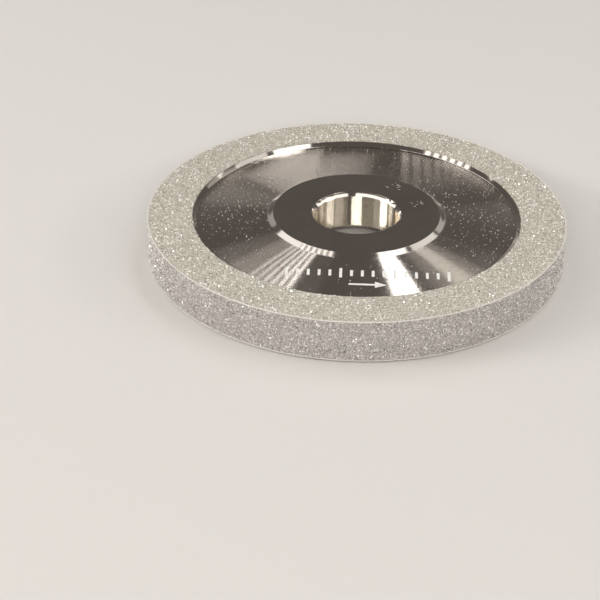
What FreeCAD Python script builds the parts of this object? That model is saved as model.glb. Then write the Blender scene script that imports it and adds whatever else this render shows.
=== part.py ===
"""Flat diamond grinding wheel, plated on its two sides and its edge.

Millimetres. The wheel lies flat: +Z runs along the bore, from the back face to the front face.
The origin is on the bore's axis, in the plane of the back face of the hub.
The wheel is the same on both sides, so every step is drawn once and mirrored about mid thickness.
"""

import os

import FreeCAD
import Part

# Driving dimensions
WHEEL_R = 50.0
THICKNESS = 10.0

# Bore, with a lead-in at each end
BORE_R = 10.0
LEAD_IN_WIDTH = 0.7
LEAD_IN_DEPTH = 1.0

# Hub boss: a flat clamping face, then a cone down to the web
HUB_FACE_R = 20.05
HUB_FOOT_R = 21.4
HUB_STEP = 0.75

# Web: the turned recess between hub and rim, slightly dished
WEB_R = 38.3
WEB_STEP = 1.1

# Rim: a 45 degree bevel out of the recess, then the land that carries the plated layer
LAYER = 0.2
GRIT_INNER_R = 39.4
CORNER_BREAK = 0.25

# Small radii that the turning tool leaves in the corners of the recess and on the hub's rim
COVE_R = 0.5
HUB_EDGE_R = 0.12


def mirrored(steps):
    """A closed outline from steps on the front side and the same steps on the back side."""
    back = [(r, THICKNESS - z) for r, z in reversed(steps)]
    return steps + back


def revolved(outline):
    """The solid that a closed (radius, height) outline sweeps round the bore's axis."""
    points = [FreeCAD.Vector(r, 0, z) for r, z in outline]
    face = Part.Face(Part.makePolygon(points + points[:1]))
    return face.revolve(FreeCAD.Vector(0, 0, 0), FreeCAD.Vector(0, 0, 1), 360)


def circles(shape, radius, height):
    """The circular edges of a radius, at a height and at its mirror height."""
    found = []
    for edge in shape.Edges:
        curve = edge.Curve
        if not isinstance(curve, Part.Circle) or abs(curve.Radius - radius) > 1e-6:
            continue
        if abs(abs(curve.Center.z - THICKNESS / 2) - abs(height - THICKNESS / 2)) < 1e-6:
            found.append(edge)
    return found


def make_steel_core():
    """The turned steel disc: bore, hub, recessed web, and the rim's land under the layer."""
    bevel_top_r = WEB_R + WEB_STEP - LAYER
    front = [
        (BORE_R, THICKNESS - LEAD_IN_DEPTH),
        (BORE_R + LEAD_IN_WIDTH, THICKNESS),
        (HUB_FACE_R, THICKNESS),
        (HUB_FOOT_R, THICKNESS - HUB_STEP),
        (WEB_R, THICKNESS - WEB_STEP),
        (bevel_top_r, THICKNESS - LAYER),
        (WHEEL_R - LAYER, THICKNESS - LAYER),
    ]
    core = revolved(mirrored(front))
    coves = circles(core, HUB_FOOT_R, THICKNESS - HUB_STEP) + circles(core, WEB_R, THICKNESS - WEB_STEP)
    core = core.makeFillet(COVE_R, coves)
    return core.makeFillet(HUB_EDGE_R, circles(core, HUB_FACE_R, THICKNESS))


def make_face_layer(front):
    """The plated ring on one side of the rim, mitred to the edge layer at the outer corner."""
    core_r = WHEEL_R - LAYER
    outline = [
        (GRIT_INNER_R, THICKNESS - LAYER),
        (core_r, THICKNESS - LAYER),
        (WHEEL_R - CORNER_BREAK / 2, THICKNESS - CORNER_BREAK / 2),
        (WHEEL_R - CORNER_BREAK, THICKNESS),
        (GRIT_INNER_R, THICKNESS),
    ]
    if not front:
        outline = [(r, THICKNESS - z) for r, z in outline]
    return revolved(outline)


def make_edge_layer():
    """The plated band round the rim's outer edge, mitred to both face layers."""
    core_r = WHEEL_R - LAYER
    front = [
        (core_r, THICKNESS - LAYER),
        (WHEEL_R - CORNER_BREAK / 2, THICKNESS - CORNER_BREAK / 2),
        (WHEEL_R, THICKNESS - CORNER_BREAK),
    ]
    return revolved(mirrored(front))


def save(node, shape):
    """One STEP file for one named piece, after a check that it is a sound solid."""
    solid = shape.Solids[0]
    if len(shape.Solids) != 1 or not solid.isValid():
        raise ValueError(node + " is not one sound solid")
    solid.exportStep("parts/" + node + ".step")
    print(node, "volume", round(solid.Volume, 2), "mm3")


os.makedirs("parts", exist_ok=True)
save("steel_core", make_steel_core())
save("front_diamond_ring", make_face_layer(front=True))
save("back_diamond_ring", make_face_layer(front=False))
save("edge_diamond_band", make_edge_layer())
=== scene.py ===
"""Looks of a plated diamond grinding wheel, lying flat on a pale studio floor."""

import math

import bmesh
import bpy
import numpy as np
from mathutils import Matrix, Quaternion, Vector


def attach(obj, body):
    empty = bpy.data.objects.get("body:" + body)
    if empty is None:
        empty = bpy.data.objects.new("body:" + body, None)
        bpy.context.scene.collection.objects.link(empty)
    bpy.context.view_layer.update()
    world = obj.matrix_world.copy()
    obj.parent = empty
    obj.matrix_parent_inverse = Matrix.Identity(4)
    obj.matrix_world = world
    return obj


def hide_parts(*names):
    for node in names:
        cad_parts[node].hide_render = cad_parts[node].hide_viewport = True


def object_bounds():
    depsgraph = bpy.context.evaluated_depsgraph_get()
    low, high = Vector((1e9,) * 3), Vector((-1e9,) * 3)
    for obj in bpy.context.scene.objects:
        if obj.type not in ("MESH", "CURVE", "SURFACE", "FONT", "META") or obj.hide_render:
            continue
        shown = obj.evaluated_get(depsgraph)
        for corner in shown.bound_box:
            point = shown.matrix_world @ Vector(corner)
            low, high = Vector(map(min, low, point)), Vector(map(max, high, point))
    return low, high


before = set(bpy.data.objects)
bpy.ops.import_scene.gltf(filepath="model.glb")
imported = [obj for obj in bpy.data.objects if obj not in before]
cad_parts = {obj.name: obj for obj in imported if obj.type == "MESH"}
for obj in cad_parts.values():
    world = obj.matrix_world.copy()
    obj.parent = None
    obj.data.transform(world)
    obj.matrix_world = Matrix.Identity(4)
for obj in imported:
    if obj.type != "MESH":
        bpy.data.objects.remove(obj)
cad_low, cad_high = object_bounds()

MM = 0.001

# Sizes of the wheel, in metres: the outer ones come from the frame, the others repeat the design.
WHEEL_R = cad_high.x
THICKNESS = cad_high.z
BORE_R = 10.0 * MM
LEAD_IN_R = 10.7 * MM
LEAD_IN_DEPTH = 1.0 * MM
HUB_FACE_R = 20.05 * MM
HUB_FOOT_R = 21.4 * MM
HUB_STEP = 0.75 * MM
WEB_R = 38.3 * MM
WEB_STEP = 1.1 * MM
LAYER = 0.2 * MM
GRIT_INNER_R = 39.4 * MM
CORNER_BREAK = 0.25 * MM
LAND_R = WHEEL_R - LAYER

# The eye: how far and how steeply it is above the middle of the front face, and where it looks.
EYE_DISTANCE = 0.4011
EYE_ELEVATION = math.radians(28.17)
AIM_OFFSET = Vector((-0.01174, -0.04151, 0))
CAMERA_ROLL = math.radians(0.73)
LENS_MM = 100
SENSOR_MM = 36
NEAREST = 0.01

FRONT_CENTRE = Vector((0, 0, THICKNESS))
TO_EYE = Vector((0, -math.cos(EYE_ELEVATION), math.sin(EYE_ELEVATION)))


def web_height(radius):
    """How high the web's front surface is at some distance from the axis."""
    share = (radius - HUB_FOOT_R) / (WEB_R - HUB_FOOT_R)
    return THICKNESS - HUB_STEP - share * (WEB_STEP - HUB_STEP)


def face_height(radius):
    """How high the front is at some distance from the axis, on the hub's face or on the web."""
    return THICKNESS if radius < HUB_FACE_R else web_height(radius)


# ---------------------------------------------------------------- meshes


def link(name, mesh):
    """A new object in the scene that shows a mesh."""
    piece = bpy.data.objects.new(name, mesh)
    bpy.context.scene.collection.objects.link(piece)
    return piece


def mesh_from_arrays(name, points, faces):
    """A mesh from an array of points and an array of faces that all have the same number of corners."""
    corners = faces.shape[1]
    mesh = bpy.data.meshes.new(name)
    mesh.vertices.add(len(points))
    mesh.vertices.foreach_set("co", points.astype(np.float32).ravel())
    mesh.loops.add(faces.size)
    mesh.loops.foreach_set("vertex_index", faces.astype(np.int32).ravel())
    mesh.polygons.add(len(faces))
    mesh.polygons.foreach_set("loop_start", np.arange(0, faces.size, corners, dtype=np.int32))
    mesh.update(calc_edges=True)
    return mesh


def arc_corner(before, corner, after, radius, steps):
    """Points of a round of some radius that replaces a corner of an outline."""
    before, corner, after = (np.array(p, float) for p in (before, corner, after))
    a = (before - corner) / np.linalg.norm(before - corner)
    b = (after - corner) / np.linalg.norm(after - corner)
    half = math.acos(np.clip(a @ b, -1, 1)) / 2
    middle = (a + b) / np.linalg.norm(a + b)
    centre = corner + middle * radius / math.sin(half)
    start = corner + a * radius / math.tan(half) - centre
    end = corner + b * radius / math.tan(half) - centre
    sweep = math.pi - 2 * half
    points = []
    for i in range(steps + 1):
        t = i / steps
        spread = (math.sin((1 - t) * sweep) * start + math.sin(t * sweep) * end) / math.sin(sweep)
        points.append(tuple(centre + spread))
    return points


def straight(start, end, steps):
    """Points along a straight stretch of an outline, without its two ends."""
    start, end = np.array(start, float), np.array(end, float)
    return [tuple(start + (end - start) * i / steps) for i in range(1, steps)]


def lathe(name, outline, segments):
    """A closed smooth-shaded ring from a closed (radius, height) outline."""
    outline = np.array(outline)
    count = len(outline)
    angles = np.arange(segments) * 2 * math.pi / segments
    x = np.outer(np.cos(angles), outline[:, 0])
    y = np.outer(np.sin(angles), outline[:, 0])
    z = np.tile(outline[:, 1], (segments, 1))
    points = np.stack([x, y, z], axis=2).reshape(-1, 3)
    here = np.arange(segments)[:, None] * count + np.arange(count)[None, :]
    right = np.roll(here, -1, axis=0)
    faces = np.stack([here, np.roll(here, -1, axis=1), np.roll(right, -1, axis=1), right], axis=2)
    mesh = mesh_from_arrays(name, points, faces.reshape(-1, 4))
    mesh.polygons.foreach_set("use_smooth", np.ones(len(mesh.polygons), bool))
    return link(name, mesh)


# ---------------------------------------------------------------- materials

GROOVE_PITCH = 0.05 * MM
WEAR = 0.2  # how much the steel's roughness varies, as a share of it
FILMED_SHARE = 0.4  # of the grains have a whole film of nickel
GLASSY_SHARE = 0.2  # of the grains have the smoothest facets
GRAIN_ROUGHNESS = 0.28
GLASSY_ROUGHNESS = 0.13


class Shader:
    """A material's node tree, with short calls to add and join nodes."""

    def __init__(self, name):
        self.material = bpy.data.materials.new(name)
        self.material.use_nodes = True
        self.nodes = self.material.node_tree.nodes
        self.links = self.material.node_tree.links
        self.surface = self.nodes["Principled BSDF"]

    def set(self, **values):
        """Sets the surface's sockets to plain values."""
        for socket, value in values.items():
            self.surface.inputs[socket.replace("_", " ")].default_value = value

    def node(self, kind, inputs=None, **settings):
        """A new node with its settings, and with a value or another node's socket at each input."""
        made = self.nodes.new("ShaderNode" + kind)
        for key, value in settings.items():
            setattr(made, key, value)
        for key, value in (inputs or {}).items():
            if isinstance(value, bpy.types.NodeSocket):
                self.links.new(value, made.inputs[key])
            else:
                made.inputs[key].default_value = value
        return made

    def to(self, socket, value):
        """Joins a value to one of the surface's sockets."""
        self.links.new(value, self.surface.inputs[socket])

    def math(self, operation, a, b=0.0):
        return self.node("Math", {0: a, 1: b}, operation=operation).outputs[0]

    def vector(self, operation, inputs):
        return self.node("VectorMath", inputs, operation=operation).outputs["Vector"]

    def place(self):
        """Where on the wheel a point is, in metres."""
        return self.node("TexCoord").outputs["Object"]

    def own_number(self):
        """A number between 0 and 1 that each separate grain has for itself."""
        return self.node("NewGeometry").outputs["Random Per Island"]

    def picked(self, own, key, share):
        """1 on a share of the grains and 0 on the others. Another key picks another set."""
        draw = self.math("FRACT", self.math("MULTIPLY", own, key))
        return self.math("GREATER_THAN", draw, 1 - share)

    def noise(self, scale, detail, roughness=0.5):
        inputs = {"Vector": self.place(), "Scale": scale, "Detail": detail, "Roughness": roughness}
        return self.node("TexNoise", inputs).outputs["Fac"]

    def ramp(self, value, *stops):
        """A colour ramp through (place, colour) stops."""
        made = self.node("ValToRGB", {"Fac": value})
        elements = made.color_ramp.elements
        while len(elements) < len(stops):
            elements.new(0.5)
        for element, (place, colour) in zip(elements, stops):
            element.position = place
            element.color = (*colour, 1)
        return made.outputs["Color"]


def turned_normal(shader, inward, outward):
    """The flat web's normal as the lathe tool's fine grooves rock it.

    The grooves sweep each light into a streak. inward and outward are the slopes of their two sides.
    """
    split = shader.node("SeparateXYZ", {"Vector": shader.place()})
    x, y = split.outputs["X"], split.outputs["Y"]
    from_axis = shader.node("CombineXYZ", {"X": x, "Y": y}).outputs["Vector"]
    radius = shader.node("VectorMath", {0: from_axis}, operation="LENGTH").outputs["Value"]
    return rocked_normal(shader, radius, shader.vector("NORMALIZE", {0: from_axis}), inward, outward)


def bored_normal(shader, downward, upward):
    """The bore's normal as the boring tool's grooves rock it, along the bore.

    downward and upward are the slopes of their two sides. A negative one leans the other way.
    """
    height = shader.node("SeparateXYZ", {"Vector": shader.place()}).outputs["Z"]
    up = shader.node("CombineXYZ", {"Z": 1.0}).outputs["Vector"]
    return rocked_normal(shader, height, up, downward, upward)


def rocked_normal(shader, distance, way, back, forth):
    """A normal that leans along a way, from -back to forth and over again with each groove crossed."""
    along = shader.math("FRACT", shader.math("MULTIPLY", distance, 1 / GROOVE_PITCH))
    slope = shader.math("SUBTRACT", shader.math("MULTIPLY", along, back + forth), back)
    normal = shader.node("NewGeometry").outputs["Normal"]
    lean = shader.vector("SCALE", {0: way, "Scale": slope})
    return shader.vector("NORMALIZE", {0: shader.vector("ADD", {0: normal, 1: lean})})


def steel(name, shades, roughness, grooved=None, slopes=()):
    """Bright nickel over turned steel: grooves from the tool, faint wear and a warm tint."""
    low, high = shades
    shader = Shader(name)
    shader.set(Metallic=1.0)
    if grooved:
        shader.set(Anisotropic=1.0, Anisotropic_Rotation=0.25)
        round_the_axis = shader.node("Tangent", direction_type="RADIAL", axis="Z")
        shader.to("Tangent", round_the_axis.outputs["Tangent"])
        shader.to("Normal", grooved(shader, *slopes))
    cloud = shader.noise(scale=90.0, detail=3.0)
    shader.to("Base Color", shader.ramp(cloud, (0.3, low), (0.7, high)))
    wear = shader.noise(scale=420.0, detail=4.0)
    smoothest = roughness * (1 - WEAR)
    roughest = roughness * (1 + WEAR)
    worn = shader.node("MapRange", {"Value": wear, "To Min": smoothest, "To Max": roughest})
    shader.to("Roughness", worn.outputs["Result"])
    return shader.material


def bond_material(name, dark, light):
    """Plated nickel between the grains: lumpy, mottled, duller than the core."""
    smoother, rougher = (0.4, 0.4, 0.4), (0.6, 0.6, 0.6)
    shader = Shader(name)
    shader.set(Metallic=0.5)
    lumps = shader.node("TexVoronoi", {"Vector": shader.place(), "Scale": 4200.0}, feature="F1")
    lumpy = shader.math("MULTIPLY", lumps.outputs["Distance"], 0.55)
    mottle = shader.noise(scale=1700.0, detail=3.0, roughness=0.6)
    total = shader.math("ADD", lumpy, shader.math("MULTIPLY", mottle, 0.5))
    shader.to("Base Color", shader.ramp(total, (0.25, dark), (0.65, light)))
    shader.to("Roughness", shader.ramp(mottle, (0.3, smoother), (0.7, rougher)))
    bump = shader.node("Bump", {"Height": total, "Strength": 0.8, "Distance": 0.1 * MM})
    shader.to("Normal", bump.outputs["Normal"])
    return shader.material


def grain_material(name, dark, mid, light, painted_glint):
    """Diamond grains, some under a film of nickel: each its own shade, lighter and darker in clumps, the
    palest as painted glints.
    """
    shader = Shader(name)
    shader.set(IOR=2.0, Coat_Weight=0.5, Coat_Roughness=0.12)
    own = shader.own_number()
    clump = shader.noise(scale=1100.0, detail=2.0, roughness=0.6)
    own_part = shader.math("MULTIPLY", own, 0.55)
    clump_part = shader.math("MULTIPLY", clump, 0.45)
    shade = shader.math("ADD", own_part, clump_part)
    # The top stop, near white, is a painted glint on the brightest grains.
    stops = [(0.30, dark), (0.42, mid), (0.56, light), (0.64, painted_glint)]
    shader.to("Base Color", shader.ramp(shade, *stops))
    shader.to("Metallic", shader.picked(own, key=7.0, share=FILMED_SHARE))
    glassy = shader.picked(own, key=13.0, share=GLASSY_SHARE)
    smoother = shader.math("MULTIPLY", glassy, GRAIN_ROUGHNESS - GLASSY_ROUGHNESS)
    shader.to("Roughness", shader.math("SUBTRACT", GRAIN_ROUGHNESS, smoother))
    return shader.material


def glint_crystal_material(name, low, high):
    """The largest crystals, with no film of nickel and a satin surface, painted pale as painted glints."""
    shader = Shader(name)
    shader.set(IOR=2.0, Coat_Weight=0.5, Coat_Roughness=0.3)
    own = shader.own_number()
    shader.to("Base Color", shader.ramp(own, (0.0, low), (0.6, high)))
    shader.to("Roughness", shader.math("ADD", 0.4, shader.math("MULTIPLY", own, 0.2)))
    return shader.material


def frosted_material(name, colour):
    """A matt, slightly uneven surface: etched marks, nicks, dust and the rough lip of the plating."""
    shader = Shader(name)
    shader.set(Roughness=0.7)
    mottle = shader.noise(scale=3000.0, detail=3.0)
    darker = tuple(c * 0.8 for c in colour)
    shader.to("Base Color", shader.ramp(mottle, (0.35, darker), (0.6, colour)))
    return shader.material


# ---------------------------------------------------------------- the turned core


CORE_SEGMENTS = 512
WARM_STEEL = ((0.60, 0.562, 0.525), (0.66, 0.625, 0.585))
# The bore's steel is painted darker and browner than the rest of the same core: painted shade and a painted
# warm reflection inside the bore.
BORE_SHADED_STEEL = ((0.44, 0.395, 0.32), (0.52, 0.475, 0.40))
ROUND_SLACK = 0.1 * MM
BORE_SLACK = 0.01 * MM


def core_outline():
    """The core's section on its front side, from the bore out to the land under the plated layer."""
    top = THICKNESS
    start = (BORE_R, top / 2)
    end = (LAND_R, top - LAYER)
    # Each corner, the radius and steps of its round, and the steps of the run that leads up to it.
    corners = [
        ((BORE_R, top - LEAD_IN_DEPTH), 0.10 * MM, 4, 6),
        ((LEAD_IN_R, top), 0.08 * MM, 5, 1),
        ((HUB_FACE_R, top), 0.12 * MM, 6, 10),
        ((HUB_FOOT_R, top - HUB_STEP), 0.50 * MM, 6, 2),
        ((WEB_R, top - WEB_STEP), 0.50 * MM, 8, 14),
        ((WEB_R + WEB_STEP - LAYER, top - LAYER), 0.05 * MM, 4, 1),
    ]
    places = [start, *(corner[0] for corner in corners), end]
    front = [start]
    for before, row, after in zip(places, corners, places[2:]):
        corner, radius, round_steps, run_steps = row
        front += straight(before, corner, run_steps)
        front += arc_corner(before, corner, after, radius, round_steps)
    return [*front, end]


def make_core():
    """The core in one piece, with a material for each way that its surface was cut."""
    front = core_outline()
    back = [(r, THICKNESS - z) for r, z in reversed(front[1:])]
    core = lathe("turned_core", front + back, CORE_SEGMENTS)
    centres = np.zeros(len(core.data.polygons) * 3)
    core.data.polygons.foreach_get("center", centres)
    radii = np.hypot(centres[0::3], centres[1::3])
    zones = (
        (steel("hub_polished", WARM_STEEL, 0.09), radii > 0),
        (
            steel("web_turned", WARM_STEEL, 0.11, turned_normal, slopes=(0.03, 0.30)),
            radii > HUB_FOOT_R - ROUND_SLACK,
        ),
        (
            # painted shade and a painted warm reflection in the bore
            steel("bore_bored", BORE_SHADED_STEEL, 0.22, bored_normal, slopes=(-0.38, 0.86)),
            radii < BORE_R + BORE_SLACK,
        ),
        (steel("bevel_turned", WARM_STEEL, 0.07), radii > WEB_R + ROUND_SLACK),
    )
    index = np.zeros(len(radii), np.int32)
    for i, (material, where) in enumerate(zones):
        core.data.materials.append(material)
        index[where] = i
    core.data.polygons.foreach_set("material_index", index)
    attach(core, "root")
    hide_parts("steel_core")


# ---------------------------------------------------------------- the plated grit

GRIT_SEED = 100
GRAIN_RADIUS = 0.16 * MM
GRAIN_SIZES = (0.7, 1.3)  # times the radius
GRAIN_STRETCHES = (0.75, 1.15)  # along each of a grain's own three axes
GRAIN_SINKS = (0.1, 0.9)  # how deep a grain's middle is, times the radius
GRAINS_PER_MM2 = 9.0
GRIT_OVERLAP = 0.05 * MM  # how far past the layer's inner edge the grains begin
LARGE_SHARE = 0.04
LARGE_SIZE = 1.75  # times the other grains

# The edge's bond and grains are the face's plated grit painted darker: painted shade of the upright edge.
FACE_BOND = ((0.22, 0.21, 0.17), (0.76, 0.73, 0.65))
SHADED_EDGE_BOND = ((0.17, 0.16, 0.155), (0.62, 0.59, 0.57))
# The last colour of each grain set is a painted glint.
FACE_GRAIN = ((0.12, 0.115, 0.075), (0.72, 0.68, 0.545), (0.99, 0.95, 0.84), (1.0, 0.99, 0.95))
SHADED_EDGE_GRAIN = ((0.10, 0.09, 0.095), (0.60, 0.57, 0.55), (0.95, 0.92, 0.88), (1.0, 0.98, 0.96))
# The crystals' pale colours are painted glints, and the edge's are also painted darker as painted shade.
FACE_CRYSTAL_GLINT = ((0.90, 0.89, 0.84), (1.0, 1.0, 0.97))
SHADED_EDGE_CRYSTAL_GLINT = ((0.55, 0.53, 0.51), (0.92, 0.90, 0.87))

OCTAHEDRON = np.array([(1, 0, 0), (-1, 0, 0), (0, 1, 0), (0, -1, 0), (0, 0, 1), (0, 0, -1)], float)
OCTAHEDRON_FACES = np.array(
    [(0, 2, 4), (2, 1, 4), (1, 3, 4), (3, 0, 4), (2, 0, 5), (1, 2, 5), (3, 1, 5), (0, 3, 5)]
)


def random_rotations(rng, count):
    """Random rotation matrices, even over all directions."""
    q = rng.normal(size=(count, 4))
    w, x, y, z = (q / np.linalg.norm(q, axis=1, keepdims=True)).T
    rows = [
        (1 - 2 * (y * y + z * z), 2 * (x * y - w * z), 2 * (x * z + w * y)),
        (2 * (x * y + w * z), 1 - 2 * (x * x + z * z), 2 * (y * z - w * x)),
        (2 * (x * z - w * y), 2 * (y * z + w * x), 1 - 2 * (x * x + y * y)),
    ]
    return np.array(rows).transpose(2, 0, 1)


def grains(name, centres, rng, sizes):
    """Blocky crystals at the given centres, each its own size and turn. sizes is one or one for each."""
    count = len(centres)
    varied = GRAIN_RADIUS * rng.uniform(*GRAIN_SIZES, (count, 1, 1))
    stretch = rng.uniform(*GRAIN_STRETCHES, (count, 1, 3))
    crystals = OCTAHEDRON[None] * (varied * np.reshape(sizes, (-1, 1, 1))) * stretch
    crystals = np.einsum("nij,nkj->nki", random_rotations(rng, count), crystals)
    points = (crystals + centres[:, None, :]).reshape(-1, 3)
    faces = OCTAHEDRON_FACES[None] + 6 * np.arange(count)[:, None, None]
    mesh = mesh_from_arrays(name, points, faces.reshape(-1, 3))
    mesh.shade_flat()
    return link(name, mesh)


def scattered(rng, along, across):
    """Places over a strip of some length and width, one in each cell of a jittered grid."""
    pitch = 1 / math.sqrt(GRAINS_PER_MM2) * MM
    columns = round(along / pitch)
    rows = max(1, round(across / pitch))
    u = (np.arange(columns)[:, None] + rng.uniform(0, 1, (columns, rows))) / columns
    v = (np.arange(rows)[None, :] + rng.uniform(0, 1, (columns, rows))) / rows
    return u.ravel(), v.ravel()


def round_the_wheel(radius, angle, z):
    """Points at some distances from the axis, angles round it and heights."""
    return np.stack([radius * np.cos(angle), radius * np.sin(angle), z], axis=1)


def face_centres(rng, height, outward):
    """Grain centres over one side of the rim, as many per area near the hub as at the outer edge.

    outward is 1 on the front side, which faces up, and -1 on the back.
    """
    inner, outer = GRIT_INNER_R - GRIT_OVERLAP, WHEEL_R - CORNER_BREAK
    u, v = scattered(rng, math.pi * (inner + outer), outer - inner)
    radius = np.sqrt(inner**2 + v * (outer**2 - inner**2))
    z = height - outward * rng.uniform(*GRAIN_SINKS, len(u)) * GRAIN_RADIUS
    return round_the_wheel(radius, u * 2 * math.pi, z)


def edge_centres(rng):
    """Grain centres round the outer edge."""
    low, high = CORNER_BREAK, THICKNESS - CORNER_BREAK
    u, v = scattered(rng, 2 * math.pi * WHEEL_R, high - low)
    radius = WHEEL_R - rng.uniform(*GRAIN_SINKS, len(u)) * GRAIN_RADIUS
    return round_the_wheel(radius, u * 2 * math.pi, low + v * (high - low))


def halves(centres):
    """The centres on the +Y and the -Y half, so that no one piece is too heavy."""
    return {"far": centres[centres[:, 1] >= 0], "near": centres[centres[:, 1] < 0]}


def make_grit():
    """The plated layer's look, and the grains that stand in it."""
    rng = np.random.default_rng(GRIT_SEED)
    face_bond = bond_material("face_bond", *FACE_BOND)
    # The edge's bond is painted darker than the face's: painted shade.
    shaded_edge_bond = bond_material("shaded_edge_bond", *SHADED_EDGE_BOND)
    for node, material in (
        ("front_diamond_ring", face_bond),
        ("back_diamond_ring", face_bond),
        ("edge_diamond_band", shaded_edge_bond),
    ):
        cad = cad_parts[node]
        cad.data.materials.clear()
        cad.data.materials.append(material)
    face_grain = grain_material("face_grain", *FACE_GRAIN)
    # The edge's grains are painted darker than the face's: painted shade.
    shaded_edge_grain = grain_material("shaded_edge_grain", *SHADED_EDGE_GRAIN)
    # The crystals are painted pale as painted glints, and darker on the edge as painted shade.
    face_crystal_glint = glint_crystal_material("face_crystal_glint", *FACE_CRYSTAL_GLINT)
    shaded_edge_crystal_glint = glint_crystal_material("shaded_edge_crystal_glint", *SHADED_EDGE_CRYSTAL_GLINT)
    zones = {
        "front": (face_centres(rng, THICKNESS, 1), face_grain, face_crystal_glint, "face_grit"),
        "back": (face_centres(rng, 0.0, -1), face_grain, face_crystal_glint, "face_grit"),
        "edge": (edge_centres(rng), shaded_edge_grain, shaded_edge_crystal_glint, "edge_grit"),
    }
    for zone, (centres, grain, crystal, slot) in zones.items():
        large = rng.uniform(0, 1, len(centres)) < LARGE_SHARE
        parts = {}
        for half, part in halves(centres[~large]).items():
            parts[zone + "_grains_" + half] = (part, grain, 1.0)
        parts[zone + "_crystals"] = (centres[large], crystal, LARGE_SIZE)
        for name, (part, material, size) in parts.items():
            piece = grains(name, part, rng, size)
            piece.data.materials.append(material)
            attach(piece, "root")


LIP_SEED = 3
LIP_R = 0.16 * MM
LIP_SINK = 0.09 * MM
LIP_SIDES = 10
LIP_SEGMENTS = 900
LIP_ROUGHNESS = 0.035 * MM


def roughen(mesh, rng, amount):
    """Moves each point a little, at random."""
    points = np.zeros(len(mesh.vertices) * 3)
    mesh.vertices.foreach_get("co", points)
    mesh.vertices.foreach_set("co", points + rng.normal(0, amount, len(points)))


def make_corner_lips():
    """The plating's thick lip along the rim's two outer corners, painted near white as a painted highlight.
    """
    rng = np.random.default_rng(LIP_SEED)
    # Near white: a painted highlight along both corners.
    nickel = frosted_material("lip_painted_highlight", (0.82, 0.79, 0.75))
    middle_r = WHEEL_R - LIP_SINK
    for name, height, inward in (("front_corner_lip", THICKNESS, -1), ("back_corner_lip", 0.0, 1)):
        middle_z = height + inward * LIP_SINK
        outline = []
        for step in range(LIP_SIDES):
            turn = -2 * math.pi * step / LIP_SIDES
            outline.append((middle_r + LIP_R * math.cos(turn), middle_z + LIP_R * math.sin(turn)))
        lip = lathe(name, outline, LIP_SEGMENTS)
        roughen(lip.data, rng, LIP_ROUGHNESS)
        lip.data.materials.append(nickel)
        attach(lip, "root")


# ---------------------------------------------------------------- marks and dust on the web

MARK_HEIGHT = 0.012 * MM
TICK_WIDTH = 0.65 * MM
TICK_PITCH = 2.45 * MM
LONG_TICK = 4.0 * MM
SHORT_TICK = 2.6 * MM
TICK_COUNT = 16
LONG_TICK_EVERY = 5
MARK_ROW = Vector((3.0 * MM, -27.6 * MM))
ARROW_ROW = Vector((3.0 * MM, -32.3 * MM))
ARROW_LENGTH = 8.5 * MM
ARROW_HEAD = 2.6 * MM
ARROW_SHAFT = 0.7 * MM


def flat_marks(name, shapes, material):
    """Thin slabs that lie on the front, one for each flat outline."""
    made = bmesh.new()
    for outline in shapes:
        rings = []
        for lift in (-MARK_HEIGHT, MARK_HEIGHT):
            heights = [face_height(math.hypot(x, y)) + lift for x, y in outline]
            rings.append([made.verts.new((x, y, z)) for (x, y), z in zip(outline, heights)])
        below, above = rings
        made.faces.new(above)
        made.faces.new(list(reversed(below)))
        for i in range(len(outline)):
            j = (i + 1) % len(outline)
            made.faces.new((below[i], below[j], above[j], above[i]))
    mesh = bpy.data.meshes.new(name)
    made.to_mesh(mesh)
    made.free()
    mesh.materials.append(material)
    piece = link(name, mesh)
    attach(piece, "root")


def box_outline(x, y, width, height):
    """The corners of an upright rectangle round a middle point."""
    w, h = width / 2, height / 2
    return [(x - w, y - h), (x + w, y - h), (x + w, y + h), (x - w, y + h)]


def make_marks():
    """A plain row of etched ticks with an arrow for the way round, in place of the maker's wording."""
    etched = frosted_material("etched", (0.93, 0.92, 0.90))
    ticks = []
    for i in range(TICK_COUNT):
        tall = SHORT_TICK if i % LONG_TICK_EVERY else LONG_TICK
        x = MARK_ROW.x + (i - (TICK_COUNT - 1) / 2) * TICK_PITCH
        ticks.append(box_outline(x, MARK_ROW.y, TICK_WIDTH, tall))
    flat_marks("etched_ticks", ticks, etched)
    x, y = ARROW_ROW
    tip = x + ARROW_LENGTH / 2
    neck = tip - ARROW_HEAD
    shaft_middle = (x - ARROW_LENGTH / 2 + neck) / 2
    shaft = box_outline(shaft_middle, y, neck - x + ARROW_LENGTH / 2, ARROW_SHAFT)
    head = [(neck, y - ARROW_HEAD / 2), (tip, y), (neck, y + ARROW_HEAD / 2)]
    flat_marks("etched_arrow", [shaft, head], etched)


SCUFF_SEED = 11
SCUFF_COUNT = 16
SCUFF_PLACES = ((9.5 * MM, 14.5 * MM), (15.0 * MM, 5.5 * MM))
SCUFF_SPREAD = 1.1 * MM
SCUFF_ANGLE = 2.6
SCUFF_ANGLE_SPREAD = 0.5
SCUFF_HALF_LENGTHS = (0.15, 0.75)  # in millimetres
SCUFF_HALF_WIDTH = 0.09 * MM


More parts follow.
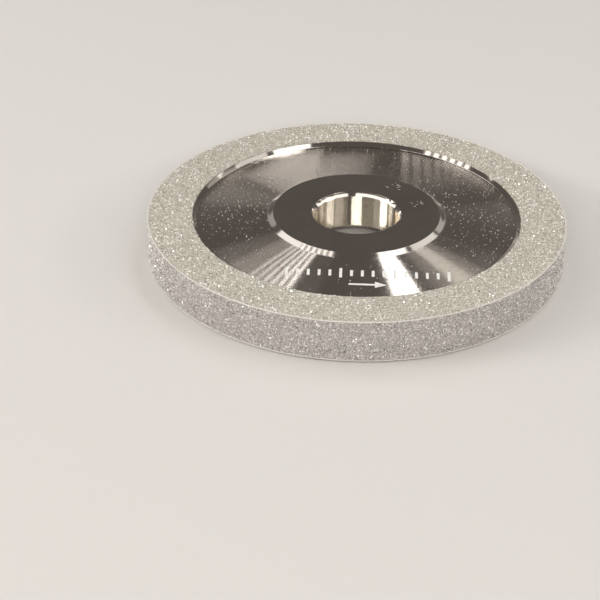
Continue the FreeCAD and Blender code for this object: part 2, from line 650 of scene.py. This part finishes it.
def make_scuffs():
    """Short bright nicks in the hub's polished face, in two small patches."""
    rng = np.random.default_rng(SCUFF_SEED)
    nicks = []
    for i in range(SCUFF_COUNT):
        x, y = rng.normal(SCUFF_PLACES[i % 2], SCUFF_SPREAD)
        angle = rng.normal(SCUFF_ANGLE, SCUFF_ANGLE_SPREAD)
        half = rng.uniform(*SCUFF_HALF_LENGTHS) * MM
        along = half * math.cos(angle), half * math.sin(angle)
        across = -SCUFF_HALF_WIDTH * math.sin(angle), SCUFF_HALF_WIDTH * math.cos(angle)
        nicks.append([
            (x - along[0], y - along[1]),
            (x + across[0], y + across[1]),
            (x + along[0], y + along[1]),
            (x - across[0], y - across[1]),
        ])
    flat_marks("hub_scuffs", nicks, frosted_material("scuffed", (0.62, 0.60, 0.57)))


DUST_SEED = 7
DUST_COUNT = 1500
DUST_INNER_R = BORE_R + 2 * MM
DUST_OUTER_R = WEB_R - 0.5 * MM
DUST_FAN = 0.45  # how widely the dust spreads from each side, in radians
DUST_STRAYS = 0.25  # of the specks lie anywhere round the web
DUST_LIFT = 0.02 * MM
DUST_WIDTHS = (0.3, 1.1)  # times a grain's, before the power that makes most of them small
DUST_POWER = 2.5
HUB_DUST_SIZE = 0.25  # times a grain's, the largest that stays on the polished hub


def make_dust():
    """Loose grains and dust that lie on the web, thickest at its two sides, and thinly on the hub."""
    rng = np.random.default_rng(DUST_SEED)
    radius = np.sqrt(rng.uniform(DUST_INNER_R**2, DUST_OUTER_R**2, DUST_COUNT))
    side = rng.integers(0, 2, DUST_COUNT) * math.pi
    angle = side + rng.normal(0, DUST_FAN, DUST_COUNT)
    stray = rng.uniform(0, 1, DUST_COUNT) < DUST_STRAYS
    angle[stray] = rng.uniform(0, 2 * math.pi, stray.sum())
    on_hub = radius < HUB_FACE_R
    z = np.where(on_hub, THICKNESS, web_height(radius)) + DUST_LIFT
    centres = round_the_wheel(radius, angle, z)
    sizes = rng.uniform(*DUST_WIDTHS, DUST_COUNT) ** DUST_POWER
    kept = (radius > HUB_FOOT_R) | (on_hub & (sizes < HUB_DUST_SIZE))
    dust = grains("loose_dust", centres[kept], rng, sizes[kept])
    dust.data.materials.append(frosted_material("dust", (0.50, 0.48, 0.455)))
    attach(dust, "root")


# ---------------------------------------------------------------- stage, light and camera

FLOOR_R = 0.75
FLOOR_SIDES = 96


def make_floor():
    """A round sheet of pale paper, level with the wheel's lowest grain."""
    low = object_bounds()[0].z
    turns = [2 * math.pi * i / FLOOR_SIDES for i in range(FLOOR_SIDES)]
    points = [(FLOOR_R * math.cos(turn), FLOOR_R * math.sin(turn), low) for turn in turns]
    mesh = bpy.data.meshes.new("floor")
    mesh.from_pydata(points, [], [range(FLOOR_SIDES)])
    floor = link("floor", mesh)
    shader = Shader("floor_paper")
    shader.set(Base_Color=(0.72, 0.715, 0.70, 1), Roughness=0.85)
    floor.data.materials.append(shader.material)


LAMP_DISTANCE = 1.0
WEB_MIDDLE_R = (HUB_FOOT_R + WEB_R) / 2

WHITE = (1.0, 0.98, 0.95)
SOFT_WHITE = (1.0, 0.96, 0.92)
WARM = (1.0, 0.93, 0.84)

# How far the facets lean, in degrees, that mirror a lamp's two ends: the web's groove sides, the hub's
# chamfer with its rounds, the bevel inside the rim, and the bore's lead-in.
WEB_TILTS = (7, 18)
WEB_INNER_TILTS = (7, 11)
WEB_OUTER_TILTS = (11, 18)
CHAMFER_TILTS = (22, 36)
CHAMFER_END_TILTS = (25, 33)
RIM_TILTS = (38, 51)
LEAD_IN_TILTS = (53.4, 56.6)

LOW_ELEVATION = 25
LOW_HEIGHT = 0.10
LOUVRES = 6
LEAD_IN_SPAN = 11


def lamp(name, rotation, place, size, radiance, colour, soft=False):
    """A flat lamp of some brightness, whatever its size: a rectangle, or an oval if soft-edged."""
    light = bpy.data.lights.new(name, "AREA")
    light.shape = "ELLIPSE" if soft else "RECTANGLE"
    light.size, light.size_y = size
    light.energy = radiance * size[0] * size[1] * (math.pi / 4 if soft else 1)
    light.color = colour
    thing = bpy.data.objects.new(name, light)
    bpy.context.scene.collection.objects.link(thing)
    thing.matrix_world = Matrix.Translation(place) @ rotation.to_4x4()
    thing.visible_camera = False


def mirror_way(spot, streak, tilt):
    """Which way a facet at a spot mirrors the eye, if it leans outward along a streak's line.

    streak is the line's angle, clockwise from the right; tilt is how far the facet leans.
    """
    a, t = math.radians(streak), math.radians(tilt)
    facet = Vector((math.sin(t) * math.cos(a), -math.sin(t) * math.sin(a), math.cos(t)))
    to_eye = (FRONT_CENTRE + TO_EYE * EYE_DISTANCE - spot).normalized()
    return 2 * to_eye.dot(facet) * facet - to_eye


def strip_light(name, spot, streak, span, tilts, radiance, colour, soft=False):
    """A lamp over the wheel whose reflection at a spot is a radial streak, span degrees wide."""
    start, end = (spot + mirror_way(spot, streak, tilt) * LAMP_DISTANCE for tilt in tilts)
    middle = (start + end) / 2
    along = (end - start).normalized()
    side = along.cross(middle - spot).normalized()
    rotation = Matrix((side, along, side.cross(along))).transposed()
    width = 2 * math.sin(math.radians(sum(tilts) / 2)) * math.radians(span) * LAMP_DISTANCE
    lamp(name, rotation, middle, (width, (end - start).length), radiance, colour, soft)


def web_spot(streak):
    """The point of the web halfway along a streak."""
    a = math.radians(streak)
    return Vector((WEB_MIDDLE_R * math.cos(a), -WEB_MIDDLE_R * math.sin(a), web_height(WEB_MIDDLE_R)))


def web_streak(name, streak, span, radiance, colour):
    """The lamp of one streak on the near side of the web, in two lengths because it widens as it goes."""
    spot = web_spot(streak)
    strip_light(name + "_inner", spot, streak, span, WEB_INNER_TILTS, radiance, colour)
    strip_light(name + "_outer", spot, streak, span, WEB_OUTER_TILTS, radiance, colour)


def web_glow(name, streak, span, radiance, colour):
    """A soft-edged streak on the near side of the web."""
    strip_light(name, web_spot(streak), streak, span, WEB_TILTS, radiance, colour, soft=True)


def chamfer_light(name, streak, span, radiance, colour):
    """A lamp that the near side of the hub's chamfer mirrors."""
    strip_light(name, FRONT_CENTRE, streak, span, CHAMFER_TILTS, radiance, colour)


def chamfer_end(name, streak, span, radiance, colour):
    """A soft lamp that the hub's chamfer mirrors at its left or right end, beside a dark web."""
    strip_light(name, FRONT_CENTRE, streak, span, CHAMFER_END_TILTS, radiance, colour, soft=True)


def rim_light(name, streak, span, radiance, colour):
    """A lamp that the bevel inside the rim mirrors on its far side, across the wheel from the streak."""
    strip_light(name, FRONT_CENTRE, streak, span, RIM_TILTS, radiance, colour)


def lead_in_light(name, streak, span, radiance, colour):
    """A lamp that the bore's lead-in mirrors on its far side, across the bore from the streak."""
    strip_light(name, FRONT_CENTRE, streak, span, LEAD_IN_TILTS, radiance, colour)


def panel(name, azimuth, elevation, size, radiance, colour, soft=False):
    """A soft box that faces the wheel. Azimuth 0 is the eye's side, and it grows to the right."""
    a, e = math.radians(azimuth), math.radians(elevation)
    away = Vector((math.sin(a) * math.cos(e), -math.cos(a) * math.cos(e), math.sin(e)))
    rotation = away.to_track_quat("Z", "Y").to_matrix()
    lamp(name, rotation, FRONT_CENTRE + away * LAMP_DISTANCE, size, radiance, colour, soft)


def make_lights():
    """The lamps over the wheel, each named after the highlight that it makes, and those round it."""
    for kind, name, streak, span, radiance, colour in (
        (web_streak, "broad_streak", 71, 8.5, 22.0, WHITE),
        (web_glow, "side_streak", 49, 9, 4.0, WARM),
        (web_glow, "side_glow", 49, 22, 1.3, WARM),
        (web_glow, "left_glow", 134, 12, 1.0, WARM),
        (web_glow, "left_glow_edge", 139, 26, 0.3, WARM),
        (chamfer_light, "broad_chamfer", 65, 18, 6.0, WHITE),
        (chamfer_light, "side_chamfer", 38, 25, 3.0, WHITE),
        (chamfer_light, "left_chamfer", 139, 22, 4.0, WHITE),
        (chamfer_end, "right_chamfer_end", 8, 30, 1.5, SOFT_WHITE),
        (chamfer_end, "left_chamfer_end", 174, 34, 1.1, SOFT_WHITE),
        (rim_light, "broad_rim", 65, 13, 6.0, WHITE),
        (rim_light, "side_rim", 47, 14, 2.8, SOFT_WHITE),
        (rim_light, "side_rim_glow", 30, 20, 1.2, WARM),
    ):
        kind(name, streak, span, radiance, colour)
    for i in range(LOUVRES):
        web_streak("louvre_web_%d" % i, 114 + 3.1 * i, 1.3, 12.5 - 1.5 * i, SOFT_WHITE)
        chamfer_light("louvre_chamfer_%d" % i, 106 + 4.0 * i, 2.0, 6.0, SOFT_WHITE)
        rim_light("louvre_rim_%d" % i, 116 + 3.5 * i, 1.9, 6.0, SOFT_WHITE)
    for side, first, count in (("left", 28, 5), ("right", 94, 6)):
        for i in range(count):
            streak = first + LEAD_IN_SPAN * i
            lead_in_light("lead_in_%s_%d" % (side, i), streak, LEAD_IN_SPAN, 6.5, WARM)
    for azimuth, width, radiance in (
        (0, 0.46, 82), (-81, 0.38, 80), (78, 0.40, 26), (-110, 0.24, 26), (113, 0.24, 12)
    ):
        name = "low_%d" % azimuth
        panel(name, azimuth, LOW_ELEVATION, (width, LOW_HEIGHT), radiance, SOFT_WHITE)
    panel("behind", 185.5, 9, (0.24, 0.18), 2.8, WARM, soft=True)
    panel("behind_glow", 190, 14, (0.40, 0.30), 0.45, WARM, soft=True)


ROOM_LOW = (0.20, 0.185, 0.18, 1)
ROOM_HIGH = (0.125, 0.112, 0.104, 1)
BACKDROP = (0.70, 0.68, 0.645, 1)


def make_world():
    """A dim room for the polished steel to mirror, and a pale backdrop where the eye looks past the floor."""
    world = bpy.data.worlds.new("studio")
    bpy.context.scene.world = world
    world.use_nodes = True
    nodes, links = world.node_tree.nodes, world.node_tree.links
    place = nodes.new("ShaderNodeTexCoord")
    split = nodes.new("ShaderNodeSeparateXYZ")
    ramp = nodes.new("ShaderNodeValToRGB")
    links.new(place.outputs["Generated"], split.inputs["Vector"])
    links.new(split.outputs["Z"], ramp.inputs["Fac"])
    low, high = ramp.color_ramp.elements
    low.position, low.color = 0.0, ROOM_LOW
    high.position, high.color = 0.25, ROOM_HIGH
    backdrop = nodes.new("ShaderNodeBackground")
    backdrop.inputs["Color"].default_value = BACKDROP
    room = nodes["Background"]
    links.new(ramp.outputs["Color"], room.inputs["Color"])
    path = nodes.new("ShaderNodeLightPath")
    mix = nodes.new("ShaderNodeMixShader")
    links.new(path.outputs["Is Camera Ray"], mix.inputs["Fac"])
    links.new(room.outputs["Background"], mix.inputs[1])
    links.new(backdrop.outputs["Background"], mix.inputs[2])
    links.new(mix.outputs["Shader"], nodes["World Output"].inputs["Surface"])


def make_camera():
    """The eye that the highlights are placed for, with a long lens."""
    camera = bpy.data.objects.new("camera", bpy.data.cameras.new("camera"))
    bpy.context.scene.collection.objects.link(camera)
    camera.data.lens = LENS_MM
    camera.data.sensor_width = SENSOR_MM
    camera.data.clip_start = NEAREST
    camera.location = FRONT_CENTRE + TO_EYE * EYE_DISTANCE
    look = (FRONT_CENTRE + AIM_OFFSET - camera.location).normalized()
    camera.rotation_mode = "QUATERNION"
    level = look.to_track_quat("-Z", "Y")
    camera.rotation_quaternion = Quaternion(look, -CAMERA_ROLL) @ level
    bpy.context.scene.camera = camera


make_core()
make_grit()
make_corner_lips()
make_marks()
make_scuffs()
make_dust()
make_floor()
make_lights()
make_world()
make_camera()
bpy.context.scene.view_settings.view_transform = "Standard"
